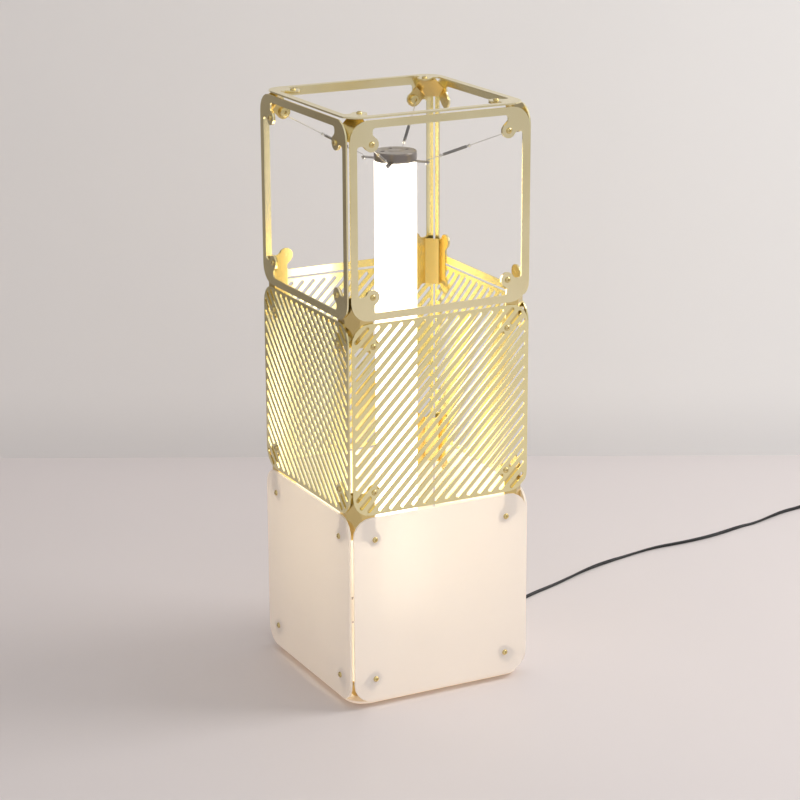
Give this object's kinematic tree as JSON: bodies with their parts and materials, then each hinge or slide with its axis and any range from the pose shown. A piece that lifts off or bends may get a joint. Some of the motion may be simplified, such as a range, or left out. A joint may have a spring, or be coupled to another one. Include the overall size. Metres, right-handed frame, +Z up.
{
  "type": "column floor lamp",
  "caption": "Square column floor lamp: open, slotted and frosted panel cubes on folded corner hubs round a sprung, wire-hung light tube, with cord, switch and plug.",
  "frame": {"origin": "on the floor, under the middle of the square column", "axes": "+Z up along the column, +X out through the back right side where the cord leaves, +Y out through the back left side"},
  "size_m": [1.1506, 0.3847, 0.7622],
  "materials": {
    "frame_brass": "brushed",
    "slotted_brass": "brushed",
    "hub_brass": "brushed",
    "screw_brass": "polished",
    "anchor_brass": "polished",
    "frosted_acrylic": "frosted",
    "base_acrylic": "frosted",
    "spring_steel": "satin",
    "wire_steel": "satin",
    "cap_metal": "brushed, dark anodised",
    "hook_steel": "satin black",
    "cap_screw_steel": "black",
    "tube_diffuser": "opal",
    "core_aluminium": "satin",
    "led_strip": "matt",
    "driver_case": "matt",
    "foot_rubber": "matt",
    "cord_sheath": "satin",
    "bush_plastic": "satin",
    "switch_plastic": "satin",
    "rocker_plastic": "satin",
    "plug_plastic": "satin",
    "pin_metal": "polished",
    "tie_plastic": "matt"
  },
  "bodies": {
    "lamp": {"base_panel": "base_acrylic", "bottom_corner_hub_back": "hub_brass", "bottom_corner_hub_front": "hub_brass", "bottom_corner_hub_left": "hub_brass", "bottom_corner_hub_right": "hub_brass", "cord": "cord_sheath", "cord_tie": "tie_plastic", "diffuser_back_left": "frosted_acrylic", "diffuser_back_right": "frosted_acrylic", "diffuser_front_left": "frosted_acrylic", "diffuser_front_right": "frosted_acrylic", "diffuser_screws": "screw_brass", "feet": "foot_rubber", "foot_screws": "screw_brass", "inner_lead": "cord_sheath", "lid_frame": "frame_brass", "lower_joint_hub_back": "hub_brass", "lower_joint_hub_front": "hub_brass", "lower_joint_hub_left": "hub_brass", "lower_joint_hub_right": "hub_brass", "lower_springs": "spring_steel", "lower_wires": "wire_steel", "outlet_bush": "bush_plastic", "plug_body": "plug_plastic", "plug_pins": "pin_metal", "slotted_panel_back_left": "slotted_brass", "slotted_panel_back_right": "slotted_brass", "slotted_panel_front_left": "slotted_brass", "slotted_panel_front_right": "slotted_brass", "slotted_panel_screws": "screw_brass", "switch_base": "switch_plastic", "switch_cover": "switch_plastic", "top_corner_hub_back": "hub_brass", "top_corner_hub_front": "hub_brass", "top_corner_hub_left": "hub_brass", "top_corner_hub_right": "hub_brass", "upper_frame_back_left": "frame_brass", "upper_frame_back_right": "frame_brass", "upper_frame_front_left": "frame_brass", "upper_frame_front_right": "frame_brass", "upper_frame_screws": "screw_brass", "upper_joint_hub_back": "hub_brass", "upper_joint_hub_front": "hub_brass", "upper_joint_hub_left": "hub_brass", "upper_joint_hub_right": "hub_brass", "upper_springs": "spring_steel", "upper_wires": "wire_steel", "wire_anchors": "anchor_brass"},
    "light": {"light_tube": "tube_diffuser", "upper_cap": "cap_metal", "lower_cap": "cap_metal", "cap_screws": "cap_screw_steel", "upper_hook_plate": "hook_steel", "lower_hook_plate": "hook_steel", "led_core": "core_aluminium", "led_strips": "led_strip", "driver": "driver_case", "tube_gland": "bush_plastic"},
    "rocker": {"switch_rocker": "rocker_plastic"}
  },
  "joints": [
    {"name": "tube_bob", "type": "slide", "parent": "lamp", "child": "light", "axis": [0, 0, 1], "range_m": [-0.006, 0.006], "stiffness_N_per_m": 4000, "springref_m": 0.0037, "deforming": ["upper_springs", "upper_wires", "lower_springs", "lower_wires", "inner_lead"]},
    {"name": "switch_rocker", "type": "hinge", "parent": "lamp", "child": "rocker", "pos_m": [0.903, 0.241, 0.0116], "axis": [0, 1, 0], "range_deg": [0, 18]}
  ]
}
